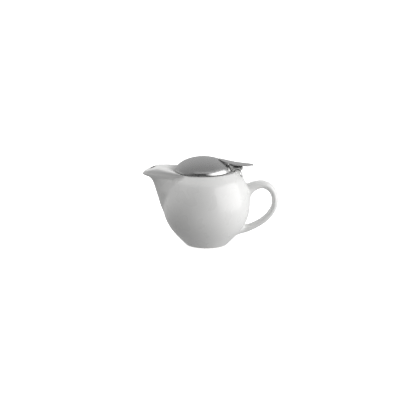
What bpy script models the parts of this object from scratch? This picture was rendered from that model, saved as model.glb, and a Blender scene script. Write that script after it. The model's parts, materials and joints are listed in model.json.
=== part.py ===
"""Porcelain teapot with a hinged steel lid and a lift-out infuser basket.

The pot is a turned body with a foot ring and a lug at the back of its rim. The beak spout and the
loop handle are formed apart from it and luted on, as potters do.
A sprung steel clip hooks over the lug and carries the hinge pin. The lid turns on that pin.
The infuser basket hangs by its flange on a ledge inside the mouth.

Lengths are in millimetres from the body's vertical axis until a mesh is finished.
The handle points to +X, the spout to -X, and the pot stands on Z = 0.
"""
import math

import bmesh
import bpy
from mathutils import Vector

MM = 0.001
GAP = 0.3                    # clearance kept between touching pieces
AXIS_X = -4.95               # the body's axis, so that the origin is under the middle of the pot

# Body: radius and height of the outer and inner surfaces.
BODY_OUTER = [(25.5, 0.0), (34.5, 8.9), (45.1, 21.2), (52.1, 35.7), (54.0, 51.6), (52.1, 67.6),
              (46.7, 82.0), (42.0, 87.5), (38.2, 91.0), (36.3, 92.4), (35.3, 92.8)]
BODY_INNER = [(22.0, 6.6), (31.0, 11.6), (37.0, 17.6), (42.6, 25.4), (46.4, 33.4), (48.7, 42.0),
              (49.5, 51.6), (48.6, 61.0), (46.2, 70.0), (42.6, 78.4), (38.2, 84.4), (33.0, 88.2)]
RIM_Z = 92.8
FOOT_INNER_R = 21.0
FOOT_RECESS = 1.6

# Mouth: centred a little toward the spout, like the lid.
MOUTH_X = -4.0
MOUTH_R = 29.6
LEDGE_R = 33.0
LEDGE_Z = 91.4
SEAT_R = 36.0

# Spout: the keel line (height, X), the nose radius of each level, the top's ridge (X, height),
# and how far the top drops from its ridge to its edges (X, drop).
KEEL = [(38.0, -52.3), (46.5, -56.0), (54.1, -58.5), (61.8, -60.7), (68.2, -62.7), (74.6, -64.7),
        (79.7, -66.5), (83.0, -68.6), (85.6, -71.8), (87.2, -76.2), (89.2, -79.2), (91.4, -78.4),
        (96.0, -76.8), (100.0, -75.4)]
NOSE_R = [(38.0, 16.0), (58.0, 14.0), (70.0, 13.5), (78.0, 9.5), (84.0, 6.0), (90.0, 4.2), (100.0, 4.2)]
RIDGE = [(-79.2, 90.6), (-75.0, 92.9), (-70.0, 95.6), (-65.0, 98.0), (-60.0, 99.1), (-54.0, 98.7),
         (-46.0, 98.0), (-38.0, 97.2), (-30.0, 95.4), (-18.0, 92.0)]
CROWN = [(-79.2, 0.5), (-72.0, 2.6), (-64.0, 4.4), (-50.0, 3.6), (-34.0, 3.7), (-18.0, 3.4)]
CROWN_POWER = 5              # how flat the top stays before it rolls over at its edges
COLLAR_SLOPE = 0.62          # the top falls at this slope toward the ring round the lid
COLLAR_RING_R = 37.0
SPOUT_SPREAD = 0.41          # sideways growth of the beak for each millimetre back from its nose
SPOUT_BACK_X = -18.0
LEVEL_CROWDING = 1.6         # above 1, the beak's levels stand closer together toward its top
ROOF_BLEND = 2.0             # where the two parts of the top come this near, they round into each other
CHAMBER_KEEL = [(57.0, -55.2), (68.0, -59.0), (78.0, -62.2), (84.0, -65.0), (88.0, -67.6),
                (92.0, -69.6), (100.0, -70.2)]
CHAMBER_INSET = 3.6
CHAMBER_BACK = (46.2, 82.6)  # above this height the chamber stays clear of the lid's seat
CHAMBER_DEPTH_R = 40.0       # below it the chamber runs back to here, and the body's wall closes it
POUR_HOLE = (-66.8, 97.4)    # centre of the pouring hole, X and Z
POUR_HOLE_R = 3.7
POUR_SLOPE = math.radians(28.0)
STRAINER_R = 1.9
STRAINER_ROWS = [(64.5, 52.0), (70.5, 55.0), (76.2, 55.0)]
STRAINER_Y = [-6.0, 0.0, 6.0]

# Handle: centreline (X, Z) with the half thickness and half width of its oval section.
HANDLE = [(44.5, 58.0, 7.6, 9.0), (48.6, 64.6, 7.4, 8.8), (53.2, 69.8, 6.7, 8.0), (58.6, 73.4, 6.1, 7.3),
          (67.0, 75.7, 5.2, 6.9), (74.6, 74.2, 4.9, 6.7), (80.6, 69.2, 4.6, 6.5), (84.2, 62.0, 4.1, 6.5),
          (84.9, 52.5, 4.05, 6.5), (82.4, 43.8, 3.95, 6.5), (75.6, 34.6, 4.0, 6.7), (65.5, 26.6, 4.05, 7.0),
          (53.6, 20.8, 4.3, 7.6), (44.5, 18.2, 4.8, 8.4), (36.0, 16.9, 5.0, 9.0)]

# Hinge: rim lug, saddle clip over it, pin through the knuckles.
LUG_X = 38.2
LUG_Z = 90.6
LUG_R = 3.6
LUG_HALF_WIDTH = 5.0
CLIP_T = 0.9
CLIP_HALF_WIDTH = 5.4
CLIP_R = LUG_R + GAP + CLIP_T / 2
CLIP_INNER_END_Z = 85.6
CLIP_LEG_ANGLE = math.radians(22.0)
CLIP_LEG_LENGTH = 6.6
SLOT_CLEARANCE = 0.8
PIN_X = 42.8
PIN_Z = 97.0
PIN_R = 0.9
PIN_HEAD_R = 1.5
PIN_HEAD_T = 0.7
KNUCKLE_R = 2.0
BORE_R = PIN_R + GAP
CHEEK_Y = CLIP_HALF_WIDTH + GAP
CHEEK_T = 1.0

# Lid.
LID_R = 35.06
LID_Z = 93.2
LID_T = 0.9
LID_ROUND = 0.7              # 0 is a spherical cap, 1 is half an ellipsoid
HEM_R = 0.75
LID_RISE = 17.0 - HEM_R      # from the hem's centre line to the top
COLLAR_R = 26.9
COLLAR_T = 0.7
COLLAR_BOTTOM_Z = 87.6
COLLAR_TOP_Z = 101.0
TAB_LINE = [(15.0, 107.9), (19.5, 106.5), (24.5, 105.1), (30.5, 103.6), (36.6, 102.4), (44.0, 101.4),
            (51.5, 100.7), (58.1, 100.3)]
TAB_HALF_WIDTH = 9.2
TAB_T = 1.2
TAB_CROWN = 0.7

# Basket.
FLANGE_R = 32.6
FLANGE_Z = LEDGE_Z + GAP
FLANGE_T = 0.8
SKIRT_DEPTH = 5.0
SKIRT_T = 0.5
BASKET_R = 28.8
BASKET_BOTTOM_R = 26.8
BASKET_T = 0.6
BASKET_BOTTOM_Z = 32.0
HOLE_R = 1.5
HOLE_ROWS = 4
HOLES_PER_ROW = 12
FIRST_ROW = 9.0              # height of the lowest row above the wall's foot
ROW_STEP = 12.0
BASE_RINGS = [(0.0, 1), (9.0, 6), (18.0, 12)]

ROUND_STEPS = 60
CLEARANCE_STEPS = 64


def clear_scene():
    for old in list(bpy.data.objects):
        bpy.data.objects.remove(old, do_unlink=True)


def principled(name, color, metallic, roughness):
    material = bpy.data.materials.new(name)
    material.use_nodes = True
    shader = material.node_tree.nodes["Principled BSDF"]
    shader.inputs["Base Color"].default_value = (*color, 1.0)
    shader.inputs["Metallic"].default_value = metallic
    shader.inputs["Roughness"].default_value = roughness
    return material


def finish(bm, name, material=None, parent=None):
    """Scale a mesh from millimetres to metres, place it round the body's axis, and name it."""
    bmesh.ops.recalc_face_normals(bm, faces=bm.faces)
    origin = Vector((AXIS_X, 0.0, 0.0))
    if parent is not None:
        origin = parent.matrix_world.translation / MM
    for vertex in bm.verts:
        vertex.co = (vertex.co + Vector((AXIS_X, 0.0, 0.0)) - origin) * MM
    mesh = bpy.data.meshes.new(name)
    bm.to_mesh(mesh)
    bm.free()
    mesh.shade_smooth()
    mesh.set_sharp_from_angle(angle=math.radians(35.0))
    item = bpy.data.objects.new(name, mesh)
    bpy.context.scene.collection.objects.link(item)
    if parent is None:
        item.location = origin * MM
    else:
        item.parent = parent
    if material is None:
        item.hide_render = True
        item.display_type = "WIRE"
    else:
        mesh.materials.append(material)
    return item


def pivot(name, x, z):
    """An empty on a joint's axis, which the pieces of a moving body hang from."""
    empty = bpy.data.objects.new(name, None)
    empty.location = ((AXIS_X + x) * MM, 0.0, z * MM)
    bpy.context.scene.collection.objects.link(empty)
    bpy.context.view_layer.update()
    return empty


def boolean(item, cutter, operation="DIFFERENCE"):
    modifier = item.modifiers.new(f"{operation.lower()} {cutter.name}", "BOOLEAN")
    modifier.operation = operation
    modifier.solver = "EXACT"
    modifier.object = cutter


def curve_points(points, steps):
    """A smooth line through the given points, with the given number of steps between each two."""
    rows = [Vector(p) for p in points]
    rows = [rows[0] * 2 - rows[1]] + rows + [rows[-1] * 2 - rows[-2]]
    line = []
    for a, b, c, d in zip(rows, rows[1:], rows[2:], rows[3:]):
        for step in range(steps):
            t = step / steps
            line.append(0.5 * (2 * b + (c - a) * t + (2 * a - 5 * b + 4 * c - d) * t * t
                               + (3 * b - a - 3 * c + d) * t * t * t))
    line.append(rows[-2])
    return line


def value_at(table, key):
    """Read a table of (key, value) pairs along a smooth curve through them."""
    if key <= table[0][0]:
        return table[0][1]
    for k in range(len(table) - 1):
        low, high = table[k], table[k + 1]
        if key <= high[0]:
            before = table[max(k - 1, 0)]
            after = table[min(k + 2, len(table) - 1)]
            span = high[0] - low[0]
            slope_low = (high[1] - before[1]) / (high[0] - before[0])
            slope_high = (after[1] - low[1]) / (after[0] - low[0])
            t = (key - low[0]) / span
            return (low[1] * (2 * t**3 - 3 * t**2 + 1) + high[1] * (3 * t**2 - 2 * t**3)
                    + span * (slope_low * (t**3 - 2 * t**2 + t) + slope_high * (t**3 - t**2)))
    return table[-1][1]


def turned(outline, steps=ROUND_STEPS, center_x=0.0):
    """Turn a closed (radius, height) outline into a solid."""
    bm = bmesh.new()
    corners = [bm.verts.new((r, 0.0, z)) for r, z in outline]
    edges = [bm.edges.new((a, b)) for a, b in zip(corners, corners[1:] + corners[:1])]
    bmesh.ops.spin(bm, geom=corners + edges, cent=(0, 0, 0), axis=(0, 0, 1), angle=math.tau,
                   steps=steps, use_merge=True)
    bmesh.ops.remove_doubles(bm, verts=bm.verts, dist=1e-5)
    on_axis = [e for e in bm.edges if e.verts[0].co.xy.length < 1e-4 and e.verts[1].co.xy.length < 1e-4]
    bmesh.ops.delete(bm, geom=on_axis, context="EDGES_FACES")
    bmesh.ops.translate(bm, vec=(center_x, 0, 0), verts=bm.verts)
    return bm


def slab(outline, y_low, y_high):
    """Extrude a closed (X, Z) outline along Y."""
    bm = bmesh.new()
    face = bm.faces.new([bm.verts.new((x, y_low, z)) for x, z in outline])
    wall = bmesh.ops.extrude_face_region(bm, geom=[face])
    moved = [g for g in wall["geom"] if isinstance(g, bmesh.types.BMVert)]
    bmesh.ops.translate(bm, vec=(0, y_high - y_low, 0), verts=moved)
    return bm


def rod(start, end, radius, sides=12):
    """A closed cylinder between two points."""
    bm = bmesh.new()
    add_rod(bm, start, end, radius, sides)
    return bm


def add_rod(bm, start, end, radius, sides=12):
    start, end = Vector(start), Vector(end)
    along = end - start
    turn = along.to_track_quat("Z", "Y").to_matrix().to_4x4()
    turn.translation = (start + end) / 2
    bmesh.ops.create_cone(bm, cap_ends=True, segments=sides, radius1=radius, radius2=radius,
                          depth=along.length, matrix=turn)


def arc(cx, cz, radius, start_deg, end_deg, steps):
    angles = [math.radians(start_deg + (end_deg - start_deg) * k / steps) for k in range(steps + 1)]
    return [(cx + radius * math.cos(a), cz + radius * math.sin(a)) for a in angles]


# ---------------------------------------------------------------- pot

def spout_mesh(keel, inset, bottom_z, columns, rows):
    """The beak: a stack of blunt wedges that follow the keel, closed by a crowned top."""
    def roof(x, y, side):
        top = value_at(RIDGE, x) - value_at(CROWN, x) * abs(side) ** CROWN_POWER
        fall = RIM_Z + 0.4 + COLLAR_SLOPE * (math.hypot(x - MOUTH_X, y) - COLLAR_RING_R)
        blend = max(0.0, ROOF_BLEND - abs(top - fall)) ** 2 / (4 * ROOF_BLEND)
        return min(top, fall) - blend - inset

    def side_point(s, z):
        nose = value_at(keel, z)
        depth = (SPOUT_BACK_X - nose) * s * s
        radius = max(value_at(NOSE_R, z) - inset, 1.4)
        half = math.sqrt(2 * radius * depth + (SPOUT_SPREAD * depth) ** 2)
        return Vector((nose + depth, math.copysign(half, s), z))

    bm = bmesh.new()
    grid = []
    for k in range(-columns, columns + 1):
        s = k / columns
        top_z = 94.0
        for _ in range(6):
            edge = side_point(s, top_z)
            top_z = roof(edge.x, edge.y, 1.0)
        column = []
        for j in range(rows + 1):
            level = 1 - (1 - j / rows) ** LEVEL_CROWDING
            column.append(bm.verts.new(side_point(s, bottom_z + (top_z - bottom_z) * level)))
        grid.append(column)
    for left, right in zip(grid, grid[1:]):
        for j in range(rows):
            bm.faces.new((left[j], right[j], right[j + 1], left[j + 1]))
    bm.faces.new([column[0] for column in grid])

    across = 8
    strips = []
    for k in range(columns, 0, -1):
        low, high = grid[columns - k][rows], grid[columns + k][rows]
        x, half = high.co.x, high.co.y
        strip = [low]
        for t in range(1, across):
            side = math.sin(math.pi * (t / across - 0.5))
            strip.append(bm.verts.new((x, half * side, roof(x, half * side, side))))
        strips.append(strip + [high])
    for back, front in zip(strips, strips[1:]):
        for t in range(across):
            bm.faces.new((back[t], back[t + 1], front[t + 1], front[t]))
    tip = grid[columns][rows]
    for a, b in zip(strips[-1], strips[-1][1:]):
        bm.faces.new((a, b, tip))
    bm.faces.new(grid[0] + strips[0][1:-1] + grid[-1][::-1])
    return bm


def handle_mesh(stations=3, sides=14):
    """An oval section swept along the loop, square to it."""
    line = curve_points([Vector(p[:2] + (0,)) for p in HANDLE], stations)
    sizes = curve_points([Vector(p[2:] + (0,)) for p in HANDLE], stations)
    bm = bmesh.new()
    rings = []
    for k, (center, size) in enumerate(zip(line, sizes)):
        along = (line[min(k + 1, len(line) - 1)] - line[max(k - 1, 0)]).normalized()
        outward = Vector((-along.y, 0.0, along.x))
        ring = []
        for side in range(sides):
            a = math.tau * side / sides
            offset = outward * size.x * math.cos(a) + Vector((0, size.y * math.sin(a), 0))
            ring.append(bm.verts.new(Vector((center.x, 0, center.y)) + offset))
        rings.append(ring)
    for near, far in zip(rings, rings[1:]):
        for side in range(sides):
            after = (side + 1) % sides
            bm.faces.new((near[side], near[after], far[after], far[side]))
    bm.faces.new(rings[0])
    bm.faces.new(rings[-1])
    return bm


def body_outline():
    outer = [tuple(p)[:2] for p in curve_points([Vector(p + (0,)) for p in BODY_OUTER], 2)]
    return [(0.0, 0.0)] + outer + [(0.0, RIM_Z)]


def cavity_outline():
    return [(0.0, BODY_INNER[0][1])] + BODY_INNER + [(0.0, BODY_INNER[-1][1] + 0.6)]


def mouth_cutter(name):
    mouth = [(0.0, 80.0), (MOUTH_R, 80.0), (MOUTH_R, LEDGE_Z), (LEDGE_R, LEDGE_Z), (LEDGE_R, RIM_Z),
             (SEAT_R, RIM_Z), (SEAT_R, 125.0), (0.0, 125.0)]
    return finish(turned(mouth, 56, MOUTH_X), name)


def body_clearance(name):
    """The body's outside grown by the gap, to cut the roots of the spout and the handle."""
    outer = [(r + GAP, z) for r, z in body_outline()[1:-1]]
    outline = [(0.0, -GAP)] + outer + [(0.0, RIM_Z + GAP)]
    return finish(turned(outline, CLEARANCE_STEPS), name)


def make_pot_body(glaze):
    body = finish(turned(body_outline()), "pot_body", glaze)
    lug = slab(arc(LUG_X, LUG_Z, LUG_R, 180, 0, 10) + [(LUG_X + LUG_R, 84.0), (LUG_X - LUG_R, 88.5)],
               -LUG_HALF_WIDTH, LUG_HALF_WIDTH)
    boolean(body, finish(lug, "lug_form"), "UNION")
    boolean(body, finish(turned(cavity_outline(), 56), "cavity_cutter"))
    boolean(body, mouth_cutter("mouth_cutter"))

    strainer = bmesh.new()
    for height, reach in STRAINER_ROWS:
        for y in STRAINER_Y:
            add_rod(strainer, (-42.0, y, height), (-reach - 1.2, y, height), STRAINER_R, 10)
    boolean(body, finish(strainer, "strainer_cutter"))

    inner_leg_x = LUG_X - CLIP_R
    slot_half = CLIP_T / 2 + SLOT_CLEARANCE
    slot = slab([(inner_leg_x - slot_half, 80.0), (inner_leg_x + slot_half, 80.0),
                 (inner_leg_x + slot_half, 96.0), (inner_leg_x - slot_half, 96.0)],
                -CLIP_HALF_WIDTH - SLOT_CLEARANCE, CLIP_HALF_WIDTH + SLOT_CLEARANCE)
    boolean(body, finish(slot, "clip_slot_cutter"))
    boolean(body, finish(rod((0, 0, -4.0), (0, 0, FOOT_RECESS), FOOT_INNER_R, 48), "foot_recess_cutter"))


def make_pot_spout(glaze):
    """The beak, set against the body and hollow behind the strainer holes."""
    spout = finish(spout_mesh(KEEL, 0.0, KEEL[0][0], 12, 13), "pot_spout", glaze)
    chamber = finish(spout_mesh(CHAMBER_KEEL, CHAMBER_INSET, CHAMBER_KEEL[0][0], 8, 8), "chamber_cutter")
    back_r, step_z = CHAMBER_BACK
    guard = [(0.0, 0.0), (CHAMBER_DEPTH_R, 0.0), (CHAMBER_DEPTH_R, step_z), (back_r, step_z),
             (back_r, 125.0), (0.0, 125.0)]
    boolean(chamber, finish(turned(guard, 52), "chamber_wall_guard"))
    boolean(spout, chamber)
    boolean(spout, body_clearance("spout_root_cutter"))
    boolean(spout, mouth_cutter("spout_seat_cutter"))

    out = Vector((-math.sin(POUR_SLOPE), 0.0, math.cos(POUR_SLOPE)))
    hole = Vector((POUR_HOLE[0], 0.0, POUR_HOLE[1]))
    boolean(spout, finish(rod(hole - out * 7.0, hole + out * 6.0, POUR_HOLE_R, 20), "pouring_hole_cutter"))


def make_pot_handle(glaze):
    handle = finish(handle_mesh(), "pot_handle", glaze)
    boolean(handle, body_clearance("handle_root_cutter"))


# ---------------------------------------------------------------- hinge

def clip_outline():
    """The saddle strip in section: inner leg, arch over the lug, outer leg down the shoulder."""
    half = CLIP_T / 2
    leg = Vector((math.sin(CLIP_LEG_ANGLE), -math.cos(CLIP_LEG_ANGLE))) * CLIP_LEG_LENGTH
    end = math.degrees(CLIP_LEG_ANGLE)
    outer = arc(LUG_X, LUG_Z, CLIP_R + half, 180, end, 12)
    inner = arc(LUG_X, LUG_Z, CLIP_R - half, end, 180, 12)
    outer_end = (outer[-1][0] + leg.x, outer[-1][1] + leg.y)
    inner_end = (inner[0][0] + leg.x, inner[0][1] + leg.y)
    return ([(LUG_X - CLIP_R - half, CLIP_INNER_END_Z)] + outer + [outer_end, inner_end] + inner
            + [(LUG_X - CLIP_R + half, CLIP_INNER_END_Z)])


def make_hinge_clip(steel, parent):
    clip = finish(slab(clip_outline(), -CLIP_HALF_WIDTH, CLIP_HALF_WIDTH), "hinge_clip", steel, parent)
    knuckle = rod((PIN_X, -CLIP_HALF_WIDTH, PIN_Z), (PIN_X, CLIP_HALF_WIDTH, PIN_Z), KNUCKLE_R, 18)
    boolean(clip, finish(knuckle, "clip_knuckle_form", None, parent), "UNION")
    lean = math.atan2(PIN_Z - LUG_Z, PIN_X - LUG_X)
    side = Vector((-math.sin(lean), math.cos(lean))) * CLIP_T
    foot = Vector((LUG_X, LUG_Z)) + Vector((math.cos(lean), math.sin(lean))) * (CLIP_R - CLIP_T / 4)
    head = Vector((PIN_X, PIN_Z))
    web = slab([tuple(foot - side), tuple(head - side), tuple(head + side), tuple(foot + side)],
               -CLIP_HALF_WIDTH + 0.4, CLIP_HALF_WIDTH - 0.4)
    boolean(clip, finish(web, "clip_web_form", None, parent), "UNION")
    bore = rod((PIN_X, -9.0, PIN_Z), (PIN_X, 9.0, PIN_Z), BORE_R, 16)
    boolean(clip, finish(bore, "clip_bore_cutter", None, parent))


def make_hinge_pin(steel, parent):
    half = CHEEK_Y + CHEEK_T + GAP
    pin = finish(rod((PIN_X, -half - 0.1, PIN_Z), (PIN_X, half + 0.1, PIN_Z), PIN_R, 16),
                 "hinge_pin", steel, parent)
    for side, word in ((-1, "near"), (1, "far")):
        head = rod((PIN_X, side * half, PIN_Z), (PIN_X, side * (half + PIN_HEAD_T), PIN_Z), PIN_HEAD_R, 16)
        boolean(pin, finish(head, f"pin_head_{word}_form", None, parent), "UNION")


# ---------------------------------------------------------------- lid

def dome_z(radius):
    """Height of the dome's outside, between a spherical cap and half an ellipsoid."""
    r = min(radius, LID_R)
    ball = (LID_R * LID_R + LID_RISE * LID_RISE) / (2 * LID_RISE)
    cap = math.sqrt(ball * ball - r * r) - (ball - LID_RISE)
    ellipsoid = LID_RISE * math.sqrt(1 - (r / LID_R) ** 2)
    return LID_Z + HEM_R + (1 - LID_ROUND) * cap + LID_ROUND * ellipsoid


def make_lid_dome(steel, parent):
    """Thin spun shell that ends in a rolled hem."""
    steps = 11
    hem_z = LID_Z + HEM_R
    radii = [LID_R * math.sin(math.pi / 2 * k / steps) for k in range(steps)]
    outer = [(r, dome_z(r)) for r in radii]
    hem = arc(LID_R - HEM_R, hem_z, HEM_R, 0, -180, 4)
    narrower = (LID_R - LID_T) / LID_R
    lower = (LID_RISE - LID_T) / LID_RISE
    inner = [(r * narrower, hem_z + (z - hem_z) * lower) for r, z in outer[:-1]]
    inner_foot = (LID_R - 2 * HEM_R, hem_z + 1.2)
    outline = outer + hem + [inner_foot] + inner[::-1]
    return finish(turned(outline, 56, MOUTH_X), "lid_dome", steel, parent)


def make_lid_collar(steel, parent):
    """Locating ring under the dome, with a small inward lip at its foot."""
    outline = [(COLLAR_R, COLLAR_TOP_Z), (COLLAR_R - 0.1, COLLAR_BOTTOM_Z + 1.2),
               (COLLAR_R - 0.6, COLLAR_BOTTOM_Z), (COLLAR_R - 2.4, COLLAR_BOTTOM_Z),
               (COLLAR_R - 2.4, COLLAR_BOTTOM_Z + COLLAR_T),
               (COLLAR_R - COLLAR_T - 0.4, COLLAR_BOTTOM_Z + COLLAR_T + 0.4),
               (COLLAR_R - COLLAR_T, COLLAR_TOP_Z)]
    return finish(turned(outline, 48, MOUTH_X), "lid_collar", steel, parent)


def tab_half_width(x):
    low, high = TAB_LINE[0][0], TAB_LINE[-1][0]
    s = 2 * (x - low) / (high - low) - 1
    power = 2.8 if s < 0 else 4.0
    return TAB_HALF_WIDTH * math.sqrt(max(0.0, 1 - abs(s) ** power))


def tab_z(x):
    return value_at(TAB_LINE, x)


def make_lid_tab(steel, parent, stations=18, across=6):
    """Leaf-shaped thumb plate, lightly crowned across its width."""
    low, high = TAB_LINE[0][0], TAB_LINE[-1][0]
    bm = bmesh.new()
    layers = []
    for lift in (TAB_T / 2, -TAB_T / 2):
        rows = []
        for k in range(stations + 1):
            s = -math.cos(math.pi * (k + 0.35) / (stations + 0.7))
            x = (low + high) / 2 + s * (high - low) / 2
            half = tab_half_width(x)
            row = []
            for t in range(across + 1):
                side = 2 * t / across - 1
                drop = TAB_CROWN * side * side * half / TAB_HALF_WIDTH
                row.append(bm.verts.new((x, half * side, tab_z(x) + lift - drop)))
            rows.append(row)
        for back, front in zip(rows, rows[1:]):
            for t in range(across):
                bm.faces.new((back[t], back[t + 1], front[t + 1], front[t]))
        layers.append(rows)
    top, bottom = layers

    def rim(rows):
        return ([row[0] for row in rows] + rows[-1][1:] + [row[-1] for row in rows[-2::-1]]
                + rows[0][-2:0:-1])

    upper, lower = rim(top), rim(bottom)
    for k in range(len(upper)):
        after = (k + 1) % len(upper)
        bm.faces.new((upper[k], upper[after], lower[after], lower[k]))
    return finish(bm, "lid_tab", steel, parent)


def make_hinge_bracket(steel, parent):
    """Folded arch under the tab: two cheeks that straddle the clip, joined by a top strip."""
    def under_tab(x):
        return tab_z(x) - TAB_T / 2 - GAP - TAB_CROWN * (CHEEK_Y + CHEEK_T) ** 2 / TAB_HALF_WIDTH**2

    def over_dome(x):
        return dome_z(math.hypot(x - MOUTH_X, 0.0)) + GAP + 0.1

    top = [(x, under_tab(x)) for x in (44.6, 40.0, 35.5, 31.0, 27.6)]
    dome_side = [(x, over_dome(x)) for x in (27.6, 29.0, 30.2)]
    front_foot = [(LID_R + MOUTH_X + 0.5, LID_Z + 2.2), (LID_R + MOUTH_X + 0.5, RIM_Z + 0.5),
                  (33.2, RIM_Z + 0.5)]
    arch = arc(LUG_X, LUG_Z, 5.7, 148, 72, 7)
    ear = arc(PIN_X, PIN_Z, 2.2, 230, 360, 6)
    outline = top + dome_side + front_foot + arch + ear
    width = CHEEK_Y + CHEEK_T
    bracket = finish(slab(outline, -width, width), "hinge_bracket", steel, parent)
    hollow = [(24.0, 80.0), (52.0, 80.0), (52.0, PIN_Z + KNUCKLE_R + 0.5), (36.5, PIN_Z + KNUCKLE_R + 0.9),
              (24.0, PIN_Z + KNUCKLE_R + 1.4)]
    boolean(bracket, finish(slab(hollow, -CHEEK_Y, CHEEK_Y), "bracket_gap_cutter", None, parent))
    bore = rod((PIN_X, -9.0, PIN_Z), (PIN_X, 9.0, PIN_Z), BORE_R, 16)
    boolean(bracket, finish(bore, "bracket_bore_cutter", None, parent))


# ---------------------------------------------------------------- basket

def make_basket_rim(steel, parent):
    skirt_r = BASKET_R - BASKET_T - GAP
    skirt_z = FLANGE_Z - SKIRT_DEPTH
    outline = [(FLANGE_R, FLANGE_Z + FLANGE_T), (FLANGE_R, FLANGE_Z), (skirt_r, FLANGE_Z),
               (skirt_r - 0.2, skirt_z), (skirt_r - 0.2 - SKIRT_T, skirt_z),
               (skirt_r - SKIRT_T, FLANGE_Z + FLANGE_T)]
    finish(turned(outline, 56, MOUTH_X), "basket_rim", steel, parent)


def make_basket_wall(steel, parent):
    top = FLANGE_Z - GAP
    outline = [(BASKET_R, top), (BASKET_BOTTOM_R, BASKET_BOTTOM_Z),
               (BASKET_BOTTOM_R - BASKET_T, BASKET_BOTTOM_Z), (BASKET_R - BASKET_T, top)]
    wall = finish(turned(outline, 48, MOUTH_X), "basket_wall", steel, parent)
    holes = bmesh.new()
    for row in range(HOLE_ROWS):
        z = BASKET_BOTTOM_Z + FIRST_ROW + row * ROW_STEP
        for k in range(HOLES_PER_ROW):
            a = math.tau * (k + 0.5 * (row % 2)) / HOLES_PER_ROW
            out = Vector((math.cos(a), math.sin(a), 0))
            middle = Vector((MOUTH_X, 0, z))
            add_rod(holes, middle + out * 22.0, middle + out * 33.0, HOLE_R, 8)
    boolean(wall, finish(holes, "wall_hole_cutter", None, parent))


def make_basket_base(steel, parent):
    radius = BASKET_BOTTOM_R
    top = BASKET_BOTTOM_Z - GAP
    outline = [(0.0, top), (0.0, top - BASKET_T), (radius - 1.0, top - BASKET_T),
               (radius, top - BASKET_T + 0.4), (radius, top)]
    base = finish(turned(outline, 48, MOUTH_X), "basket_base", steel, parent)
    holes = bmesh.new()
    for ring, count in BASE_RINGS:
        for k in range(count):
            a = math.tau * k / count
            x, y = MOUTH_X + ring * math.cos(a), ring * math.sin(a)
            add_rod(holes, (x, y, top - 4.0), (x, y, top + 4.0), HOLE_R, 8)
    boolean(base, finish(holes, "base_hole_cutter", None, parent))


def main():
    clear_scene()
    glaze = principled("white_glaze", (0.86, 0.86, 0.85), 0.0, 0.12)
    satin = principled("satin_steel", (0.62, 0.62, 0.62), 1.0, 0.34)
    bright = principled("bright_steel", (0.75, 0.75, 0.74), 1.0, 0.16)
    basket_steel = principled("basket_steel", (0.66, 0.66, 0.65), 1.0, 0.25)

    make_pot_body(glaze)
    make_pot_spout(glaze)
    make_pot_handle(glaze)

    clip_base = pivot("clip_base", LUG_X, LUG_Z)
    make_hinge_clip(bright, clip_base)
    make_hinge_pin(bright, clip_base)

    lid_axis = pivot("lid_axis", PIN_X, PIN_Z)
    make_lid_dome(satin, lid_axis)
    make_lid_collar(bright, lid_axis)
    make_lid_tab(satin, lid_axis)
    make_hinge_bracket(bright, lid_axis)

    basket_axis = pivot("basket_axis", MOUTH_X, LEDGE_Z)
    make_basket_rim(basket_steel, basket_axis)
    make_basket_wall(basket_steel, basket_axis)
    make_basket_base(basket_steel, basket_axis)


main()
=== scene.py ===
"""Porcelain teapot with a hinged steel lid and an infuser basket: the looks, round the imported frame.

Shapes are worked out in millimetres from the body's vertical axis, as in the CAD source, and moved
into the frame when a mesh is made. The pot is one implicit surface, so that spout, handle and lug
flow into the body with real fillets; the steel pieces are turned, folded or swept sheet.
"""

import json
import math

import bmesh
import bpy
import numpy as np
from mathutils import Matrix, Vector

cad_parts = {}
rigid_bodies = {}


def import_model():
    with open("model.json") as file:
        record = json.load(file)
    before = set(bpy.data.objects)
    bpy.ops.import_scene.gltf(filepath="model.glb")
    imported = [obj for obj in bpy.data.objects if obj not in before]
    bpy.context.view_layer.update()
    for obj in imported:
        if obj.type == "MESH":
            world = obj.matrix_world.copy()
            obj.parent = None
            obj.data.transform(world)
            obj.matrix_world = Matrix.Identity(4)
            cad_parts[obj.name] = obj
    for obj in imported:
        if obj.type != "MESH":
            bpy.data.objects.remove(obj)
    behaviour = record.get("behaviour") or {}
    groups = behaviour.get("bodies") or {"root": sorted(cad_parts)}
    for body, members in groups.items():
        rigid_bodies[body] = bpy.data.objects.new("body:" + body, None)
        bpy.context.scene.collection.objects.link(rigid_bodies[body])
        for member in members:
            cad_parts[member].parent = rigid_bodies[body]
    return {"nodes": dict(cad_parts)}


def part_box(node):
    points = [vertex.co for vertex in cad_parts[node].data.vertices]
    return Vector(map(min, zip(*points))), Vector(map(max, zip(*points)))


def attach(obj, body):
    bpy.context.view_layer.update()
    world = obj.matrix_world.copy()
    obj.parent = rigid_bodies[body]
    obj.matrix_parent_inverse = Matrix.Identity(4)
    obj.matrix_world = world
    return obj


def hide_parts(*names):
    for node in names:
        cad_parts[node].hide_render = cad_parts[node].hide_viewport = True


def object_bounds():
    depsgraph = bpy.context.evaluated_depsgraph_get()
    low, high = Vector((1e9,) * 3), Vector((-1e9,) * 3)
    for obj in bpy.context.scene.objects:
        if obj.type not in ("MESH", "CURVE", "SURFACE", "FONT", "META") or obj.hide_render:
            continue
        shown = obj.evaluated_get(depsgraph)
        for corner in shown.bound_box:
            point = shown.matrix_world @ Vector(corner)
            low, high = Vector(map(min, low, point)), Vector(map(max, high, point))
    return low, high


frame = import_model()
cad_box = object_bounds()

MM = 0.001

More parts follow.
